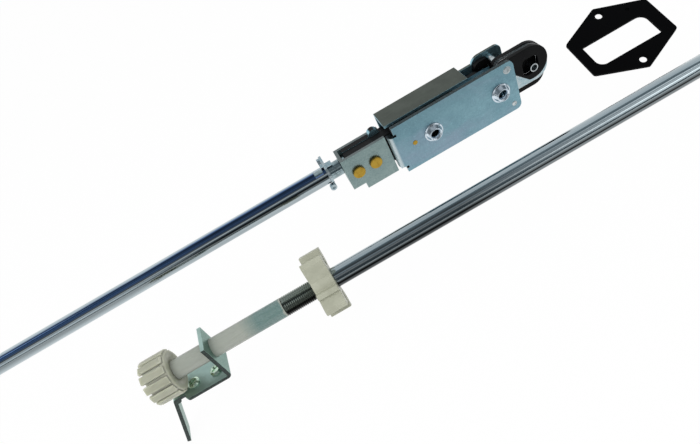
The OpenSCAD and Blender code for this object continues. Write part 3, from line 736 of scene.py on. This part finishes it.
class HEADERBOLT_OT_case(PieceOperator):
    """Finish the case with its plate, channel, pins, posts and shoe"""

    bl_idname = "header_bolt.case"
    bl_label = "Case"

    def make(self, f, s):
        face = zinc_sheet("zinc_face", f.zinc, f.zinc_shade, f.zinc_edge, (1, 1, 0),
                          warm=f.zinc_warm, bend=f.zinc_bend_highlight)
        # The channel's faces that look up get painted shade.
        dark = zinc_sheet("channel_zinc", f.zinc, f.zinc_shade, top=f.shaded_zinc_top)
        bright = bright_steel("bright_steel", f.bright)
        brass = brass_finish("pin_brass", f.brass, f.brass_shade)
        shoe = black_paint("shoe_plastic", f.plastic, f.black_worn, (0.4, 0.6), 1.6)
        finish_nodes(face, s.edge, ["front_plate"])
        finish_nodes(dark, s.edge, ["case_channel"])
        finish_nodes(bright, s.edge * 0.7, ["pivot_pin", "lower_stub", "case_posts"])
        finish_nodes(brass, s.edge * 0.5, ["guide_pin"])
        finish_nodes(shoe, s.edge * 1.5, ["guide_shoe"])


class HEADERBOLT_OT_bosses(PieceOperator):
    """Set the two tapped bosses with their countersunk mouths"""

    bl_idname = "header_bolt.bosses"
    bl_label = "Bosses"

    def make(self, f, s):
        plate_face, height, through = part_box("front_plate")[0][1], 4.0, 3.0
        hole, sink, mouth, seat = 2.5, 1.3, 3.9, 5.0
        rim, foot, flange, flange_height = 4.5, 5.65, 6.75, 0.6
        chamfer, fillet = 0.25, 0.3
        profile = [(sink - height, hole), (0.06 - height, mouth), (-height, mouth + 0.08)]
        profile += [(-height, rim - chamfer), (chamfer - height, rim)]
        profile += [(-flange_height - fillet, foot), (-flange_height, foot + fillet)]
        profile += [(-flange_height, flange - fillet), (-0.45, flange - 0.08), (-0.2, flange)]
        profile += [(0, flange), (0, seat), (through, seat), (through, hole)]
        boss = turned("boss_master", profile, 56, Vector((0, 0, 0)), "Y")
        spots = mesh_object("case_boss_pair", bmesh.new())
        apart = frame_mount("case_screws")["dims"]["spacing_x_mm"] * MM
        spots.data.from_pydata([(x, plate_face, 0) for x in (-apart / 2, apart / 2)], [], [])
        steel = bright_steel("boss_steel", f.chrome, (0.06, 0.14))
        run_tree(spots, fasteners_tree(), {"Fastener": boss, "Material": steel})
        bpy.data.objects.remove(boss)
        new_piece(spots, steel, "case", "zinc_steel", "case_bosses")


class HEADERBOLT_OT_slide(PieceOperator):
    """Finish the slide with its yoke, bar and fork"""

    bl_idname = "header_bolt.slide"
    bl_label = "Slide"

    def make(self, f, s):
        yoke = zinc_sheet("yoke_zinc", f.grey_zinc, f.grey_zinc_shade, f.grey_zinc_edge, (1, 1, 0),
                          grain=1.3)
        # Painted shade: the bar's faces that look up are painted black.
        bar = zinc_sheet("bar_zinc", f.zinc, f.zinc_shade, grain=1.4, top=f.plastic)
        block = black_paint("block_plastic", f.plastic, f.black_worn, (0.42, 0.6), 1.3)
        fork = black_paint("fork_black", f.black, f.black_worn, (0.36, 0.52), 1.5)
        bright = bright_steel("fork_rivet_steel", f.bright, grain=1.5)
        finish_nodes(yoke, s.edge, ["yoke"])
        finish_nodes(bar, s.edge, ["drive_bar"])
        finish_nodes(block, s.edge, ["slide_block"])
        finish_nodes(fork, s.edge, ["drive_fork"])
        finish_nodes(bright, s.edge, ["fork_rivets"])


class HEADERBOLT_OT_yoke_rivets(PieceOperator):
    """Set the two brass rivets with rounded heads through the yoke"""

    bl_idname = "header_bolt.yoke_rivets"
    bl_label = "Yoke rivets"

    def make(self, f, s):
        low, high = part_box("yoke_rivets")
        head, proud = s.rivet_d / MM / 2, s.rivet_proud / MM
        shank, through = head - 1.5, (high[1] - low[1]) / MM - proud
        profile = [(-proud, head * 0.5), (-proud + 0.05, head * 0.72)]
        profile += arc(-proud + 0.62, head - 0.55, 0.55, 180, 90)
        profile += [(0, head), (0, shank), (through, shank)]
        rivet = turned("rivet_master", profile, 40, Vector((0, 0, 0)), "Y", solid=True)
        spots = mesh_object("yoke_rivet_heads", bmesh.new())
        yoke_face, level = low[1] + s.rivet_proud, middle("yoke_rivets").z
        ends = (low[0] + s.rivet_d / 2, high[0] - s.rivet_d / 2)
        spots.data.from_pydata([(x, yoke_face, level) for x in ends], [], [])
        brass = brass_finish("rivet_brass", f.brass, f.brass_shade)
        run_tree(spots, fasteners_tree(), {"Fastener": rivet, "Material": brass})
        bpy.data.objects.remove(rivet)
        new_piece(spots, brass, "slide", "brass", "yoke_rivets")


class HEADERBOLT_OT_bolt(PieceOperator):
    """Finish the swinging bolt with its plies, bush, rivet and drive pin"""

    bl_idname = "header_bolt.bolt"
    bl_label = "Bolt"

    def make(self, f, s):
        cheek = black_paint("front_cheek_black", f.black, f.black_worn)
        rear = black_paint("rear_cheek_black", f.black, f.black_worn)
        core = zinc_sheet("core_zinc", f.bright, f.zinc, f.black, rough=(0.2, 0.32), grain=1.6)
        bright = bright_steel("bolt_pin_steel", f.bright, (0.2, 0.36), 1.4)
        finish_nodes(cheek, s.edge, ["front_cheek"])
        finish_nodes(rear, s.edge, ["rear_cheek"])
        finish_nodes(core, s.edge, ["bolt_core"])
        finish_nodes(bright, s.edge * 0.7, ["pivot_bush", "hollow_rivet", "drive_pin"])


class HEADERBOLT_OT_upper_rod(PieceOperator):
    """Finish the upper rod with its stud and clip"""

    bl_idname = "header_bolt.upper_rod"
    bl_label = "Upper rod"

    def make(self, f, s):
        axis, clip_end = middle("upper_tube"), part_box("upper_tube")[1][0]
        # Painted reflections: greys that darken the tube in bands, in degrees round it.
        left_painted_reflections = [(-180, 1), (6, 1), (10, 0.7), (14, 0.12), (19, 0.16), (24, 1), (42, 1),
                       (48, 0.3), (56, 1), (68, 1), (72, 0.55), (80, 0.44), (88, 0.54),
                       (104, 0.76), (140, 1)]
        right_painted_reflections = [(-180, 1), (2, 1), (8, 0.5), (12, 0.13), (20, 0.14), (26, 0.74),
                        (40, 0.7), (47, 0.4), (54, 1), (58, 1), (63, 0.24), (68, 0.08),
                        (73, 0.08), (80, 0.32), (88, 0.78), (104, 0.72), (122, 0.7), (140, 1)]
        between = (clip_end - 141 * MM, clip_end - 81 * MM)
        tube = rod_tube("upper_tube_plate", f.tube, axis, left_painted_reflections, right_painted_reflections, between,
                        f.tube_blue)
        clip = zinc_sheet("clip_zinc", f.bright, f.zinc_shade, rough=(0.2, 0.34), grain=2.0)
        stud = bright_steel("stud_steel", f.stud)
        finish_nodes(tube, s.edge * 0.6, ["upper_tube"])
        finish_nodes(clip, s.edge * 0.7, ["upper_clip"])
        finish_nodes(stud, s.edge * 0.6, ["upper_stud"])


class HEADERBOLT_OT_lower_rod(PieceOperator):
    """Roll the thread on the lower rod and finish its stud"""

    bl_idname = "header_bolt.lower_rod"
    bl_label = "Lower rod"

    def make(self, f, s):
        low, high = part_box("lower_tube")
        axis, start = middle("lower_tube"), low[0]
        long, threaded, oiled, round_end = (high[0] - start) / MM, 34.0, 28.0, 0.4
        outer = s.tube_d / MM / 2
        inner = outer - s.tube_wall / MM
        step = s.thread_pitch / MM / 8
        rows = int((threaded - round_end) / step)
        profile = [(0, inner), (0, outer - round_end), (0.12, outer - 0.15), (round_end, outer)]
        profile += [(round_end + step * (i + 1), outer) for i in range(rows)]
        profile += [(x, outer) for x in (52.0, 92.0, 152.0, 212.0, 272.0)]
        profile += [(long - 0.3, outer), (long, outer - 0.3), (long, inner)]
        profile += [(x, inner) for x in (212.0, 112.0, 52.0)]
        tube = turned("lower_tube_threaded", profile, 64, Vector((start, axis.y, axis.z)))
        # Painted reflections: greys that darken the tube in bands, in degrees round it.
        left_painted_reflections = [(-180, 1), (-30, 0.85), (-8, 0.73), (8, 0.73), (16, 1), (24, 0.67),
                       (31, 0.17), (34, 0.25), (39, 1), (42, 0.9), (47, 0.36), (64, 0.47),
                       (72, 0.3), (79, 0.04), (85, 0.003), (91, 0.003), (96, 0.1), (104, 0.12),
                       (112, 0.06), (120, 0.085), (136, 0.19), (180, 1)]
        right_painted_reflections = [(-180, 1), (-30, 0.85), (8, 0.82), (16, 1), (60, 1), (66, 0.8),
                        (72, 0.41), (80, 0.2), (86, 0.008), (90, 0.008), (96, 0.36),
                        (104, 0.38), (112, 0.22), (120, 0.23), (136, 0.36), (180, 1)]
        between = (start + 122 * MM, start + 172 * MM)
        plate = rod_tube("lower_tube_plate", f.tube, axis, left_painted_reflections, right_painted_reflections, between,
                         dull_to=start + oiled * MM)
        run_tree(tube, rolled_thread_tree(), {
            "Pitch": s.thread_pitch, "Depth": s.thread_depth, "Start": start,
            "End": start + threaded * MM, "Run out": 1.2 * MM, "Axis Y": axis.y,
            "Axis Z": axis.z, "Outer radius": s.tube_d / 2, "Material": plate})
        new_piece(tube, plate, "lower_rod", "bright_tube", "lower_tube")
        stud = bright_steel("lower_stud_steel", f.bright)
        finish_nodes(stud, 0, ["lower_stud"])


class HEADERBOLT_OT_adjuster(PieceOperator):
    """Finish the adjuster sleeve and build its toothed knob"""

    bl_idname = "header_bolt.adjuster"
    bl_label = "Adjuster"

    def make(self, f, s):
        sleeve_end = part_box("adjuster_sleeve")[1][0]
        sleeve = milky_sleeve("sleeve_plastic", f.sleeve, f.sleeve_tint, s.stud_pitch, sleeve_end)
        finish_nodes(sleeve, s.edge, ["adjuster_sleeve"])
        nylon = moulded_nylon("knob_nylon", f.nylon, f.nylon_shade)
        long, root, bore = s.knob_length / MM, s.knob_root / MM / 2, 6.2
        recess, collar, ledge, groove = s.hub_recess / MM, 9.0, 0.4, 1.2
        left_round, right_round, back_dish = 0.6, 1.0, 0.5
        axis = middle("lower_tube")
        centre = Vector((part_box("adjuster_knob")[0][0], axis.y, axis.z))
        profile = [(recess, bore), (recess, collar - ledge), (recess + ledge, collar)]
        profile += [(recess + ledge, collar + groove), (recess, collar + groove + ledge)]
        profile += arc(recess + left_round, root - left_round, left_round, 180, 90)
        profile += arc(long - right_round, root - right_round, right_round, 90, 0)
        profile += [(long, collar + ledge), (long - back_dish, collar), (long - back_dish, bore)]
        hub = turned("knob_toothed", profile, 52, centre)
        bm = bmesh.new()
        bmesh.ops.create_cube(bm, size=1)
        reach = s.knob_d / MM / 2
        right_end = long - 1.2
        for v in bm.verts:
            outer = v.co.z > 0
            along = 0 if v.co.x < 0 else right_end
            v.co = Vector((along, v.co.y * s.tooth_width / MM, reach if outer else root - 1)) * MM
        bmesh.ops.bevel(bm, geom=bm.edges[:], offset=0.3 * MM, segments=2, profile=0.5,
                        affect="EDGES")
        bmesh.ops.recalc_face_normals(bm, faces=bm.faces)
        for face in bm.faces:
            face.smooth = True
        tooth = mesh_object("tooth_master", bm)
        run_tree(hub, ring_of_teeth_tree(), {
            "Count": s.knob_teeth, "Tooth": tooth, "Centre": centre, "Material": nylon})
        bpy.data.objects.remove(tooth)
        new_piece(hub, nylon, "adjuster", "natural_nylon", "adjuster_knob")


class HEADERBOLT_OT_bracket(PieceOperator):
    """Finish the bracket and its two screws"""

    bl_idname = "header_bolt.bracket"
    bl_label = "Bracket"

    def make(self, f, s):
        # Painted light on the faces that look up, painted shade on the sheared edges.
        sheet = zinc_sheet("bracket_zinc", f.green_zinc, f.green_zinc_shade, f.zinc_edge, (1, 0, 1),
                           grain=1.1, top=f.green_zinc_lit_top)
        screw = bright_steel("screw_steel", f.screw, (0.1, 0.2), 1.6)
        finish_nodes(sheet, s.edge, ["bracket"])
        finish_nodes(screw, s.edge, ["bracket_screws"])


class HEADERBOLT_OT_guide(PieceOperator):
    """Finish the rod guide"""

    bl_idname = "header_bolt.guide"
    bl_label = "Rod guide"

    def make(self, f, s):
        nylon = moulded_nylon("guide_nylon", f.nylon, f.nylon_shade, 0)
        finish_nodes(nylon, s.soft_edge, ["rod_guide"])


class HEADERBOLT_OT_strike(PieceOperator):
    """Finish the strike plate"""

    bl_idname = "header_bolt.strike"
    bl_label = "Strike plate"

    def make(self, f, s):
        paint = black_paint("strike_black", f.black, f.black, (0.38, 0.54), 0.8, gloss=0.03)
        finish_nodes(paint, s.edge, ["strike_plate"])


class HEADERBOLT_OT_stage(bpy.types.Operator):
    """Set up the floor, lamps, room light and camera"""

    bl_idname = "header_bolt.stage"
    bl_label = "Stage"
    bl_options = {"REGISTER", "UNDO"}

    def execute(self, context):
        g = stage()
        self.camera(context, g)
        self.floor(g)
        self.lamps(g)
        self.room(context, g)
        context.scene.view_settings.view_transform = "Standard"
        return {"FINISHED"}

    def camera(self, context, g):
        """Stands the camera where the photograph was taken from."""
        ca, sa, ce, se = math.cos(g.turn), math.sin(g.turn), math.cos(g.tilt), math.sin(g.tilt)
        look = Vector((-sa * ce, ca * ce, -se))
        level = Vector((ca, sa, 0))
        rise = level.cross(look)
        right = level * math.cos(g.roll) - rise * math.sin(g.roll)
        up = level * math.sin(g.roll) + rise * math.cos(g.roll)
        data = bpy.data.cameras.new("photo_camera")
        data.lens = g.lens
        data.sensor_width = 36
        data.sensor_fit = "HORIZONTAL"
        data.clip_start = 0.01
        camera = bpy.data.objects.new("photo_camera", data)
        turn = Matrix((right, up, -look)).transposed().to_4x4()
        camera.matrix_world = Matrix.Translation(Vector(g.eye)) @ turn
        context.scene.collection.objects.link(camera)
        context.scene.camera = camera

    def floor(self, g):
        """A pale floor under the lowest point, white to the camera and to polished metal."""
        bm = bmesh.new()
        bmesh.ops.create_grid(bm, x_segments=2, y_segments=2, size=4)
        for v in bm.verts:
            v.co.z = cad_box[0].z - 0.5 * MM
        floor = mesh_object("floor", bm)
        material = bpy.data.materials.new("pale_floor")
        material.use_nodes = True
        net = Net(material.node_tree)
        net.tree.nodes.clear()
        path = net.node("ShaderNodeLightPath").outputs
        seen = net.math("MAXIMUM", path["Is Camera Ray"],
                        net.math("MAXIMUM", path["Is Glossy Ray"], path["Is Transmission Ray"]))
        lit = net.node("ShaderNodeBsdfDiffuse", {"Color": (*g.floor, 1)})
        white = net.node("ShaderNodeEmission", {"Color": (1, 1, 1, 1), "Strength": 1.0})
        both = net.node("ShaderNodeMixShader", {0: net.multiply(seen, 0.97),
                                                1: lit.outputs[0], 2: white.outputs[0]})
        net.node("ShaderNodeOutputMaterial", {0: both.outputs[0]})
        floor.data.materials.append(material)

    def lamps(self, g):
        """One large soft key lamp and a weaker fill lamp."""
        for name, power, size, spot in (
            ("key_lamp", g.key, 0.7, (-0.45, -0.55, 0.9)),
            ("fill_lamp", g.fill, 0.9, (0.7, -0.2, 0.8)),
        ):
            data = bpy.data.lights.new(name, "AREA")
            data.energy = power
            data.size = size
            lamp = bpy.data.objects.new(name, data)
            lamp.location = spot
            lamp.rotation_euler = (Vector(spot)).to_track_quat("Z", "Y").to_euler()
            lamp.visible_glossy = False
            bpy.context.scene.collection.objects.link(lamp)

    def room(self, context, g):
        """The room: white to the camera, even to matt surfaces, and to polished metal a pale
        room with dark strips, two long lamps that run along the rods, a round lamp, a window
        with bars at the right and a door at the left."""
        world = bpy.data.worlds.new("studio_room")
        context.scene.world = world
        world.use_nodes = True
        net = Net(world.node_tree)
        net.tree.nodes.clear()
        x, y, z = net.split(net.node("ShaderNodeTexCoord").outputs["Generated"])
        turn = net.ramp(net.math("ARCTAN2", z, y), -math.pi, math.pi)
        bands = net.steps(turn, [
            (-180, (0.10, 0.12, 0.13)), (-172, (0.7, 0.7, 0.7)), (-150, (0.95, 0.95, 0.95)),
            (0, (0.9, 0.9, 0.9)), (40, (0.8, 0.82, 0.84)), (72, (0.62, 0.66, 0.69)),
            (80, (0.16, 0.19, 0.21)), (101, (0.13, 0.16, 0.18)), (104, (0.4, 0.42, 0.44)),
            (107, (0.4, 0.42, 0.44)), (110, (0.12, 0.14, 0.15)), (118, (0.24, 0.26, 0.28)),
            (130, (0.22, 0.24, 0.26)), (135, (0.12, 0.13, 0.14)), (141, (0.6, 0.6, 0.6)),
            (148, (0.6, 0.6, 0.6)), (153, (0.12, 0.14, 0.16)), (180, (0.06, 0.08, 0.09)),
        ])
        window = net.steps(turn, greys([
            (104, 0), (107, 0.7), (113, 0.7), (116, 0.1), (121, 0.1), (125, 0.45), (131, 0.6),
            (135, 0.1), (140, 0.2), (144, 1.3), (149, 1.3), (153, 0.4), (156, 0.9), (162, 1.0),
            (166, 0)]))
        bands = net.mix(net.ramp(x, 0.3, 0.5), bands, window, "ADD")
        door = net.steps(turn, greys([(152, 0), (158, 0.6), (170, 0.6), (175, 0)]))
        bands = net.mix(net.ramp(x, -0.25, -0.4), bands, door, "ADD")
        round_lamp = (-0.554, 0.223, 0.802)
        toward = [net.multiply(part, share) for part, share in zip((x, y, z), round_lamp)]
        near = net.add(toward[0], net.add(toward[1], toward[2]))
        bands = net.mix(net.ramp(near, 0.989, 0.993), bands, (1.6, 1.6, 1.6))
        path = net.node("ShaderNodeLightPath").outputs
        seen = net.mix(path["Is Glossy Ray"], (g.ambient,) * 3, bands)
        seen = net.mix(path["Is Camera Ray"], seen, (1, 1, 1))
        light = net.node("ShaderNodeBackground", {0: seen, 1: 1.0})
        net.node("ShaderNodeOutputWorld", {0: light.outputs[0]})


class HEADERBOLT_PT_panel(bpy.types.Panel):
    """The header bolt's settings and steps"""

    bl_idname = "HEADERBOLT_PT_panel"
    bl_label = "Header bolt"
    bl_space_type = "VIEW_3D"
    bl_region_type = "UI"
    bl_category = "Header bolt"

    def draw(self, context):
        for group in (finishes(), sizes(), stage()):
            box = self.layout.box()
            for key in group.__annotations__:
                box.prop(group, key)
        for operator in OPERATORS:
            self.layout.operator(operator.bl_idname)


OPERATORS = (
    HEADERBOLT_OT_stage,
    HEADERBOLT_OT_case,
    HEADERBOLT_OT_bosses,
    HEADERBOLT_OT_slide,
    HEADERBOLT_OT_yoke_rivets,
    HEADERBOLT_OT_bolt,
    HEADERBOLT_OT_upper_rod,
    HEADERBOLT_OT_lower_rod,
    HEADERBOLT_OT_adjuster,
    HEADERBOLT_OT_bracket,
    HEADERBOLT_OT_guide,
    HEADERBOLT_OT_strike,
)
GROUPS = {
    "header_bolt_finishes": FinishSettings,
    "header_bolt_sizes": SizeSettings,
    "header_bolt_stage": StageSettings,
}


def register():
    for made in (*GROUPS.values(), *OPERATORS, HEADERBOLT_PT_panel):
        bpy.utils.register_class(made)
    for key, group in GROUPS.items():
        setattr(bpy.types.Scene, key, bpy.props.PointerProperty(type=group))


def unregister():
    for key in GROUPS:
        delattr(bpy.types.Scene, key)
    for made in (HEADERBOLT_PT_panel, *reversed(OPERATORS), *GROUPS.values()):
        bpy.utils.unregister_class(made)


def main():
    register()
    for operator in OPERATORS:
        group, name = operator.bl_idname.split(".")
        getattr(getattr(bpy.ops, group), name)()


if __name__ == "__main__":
    main()
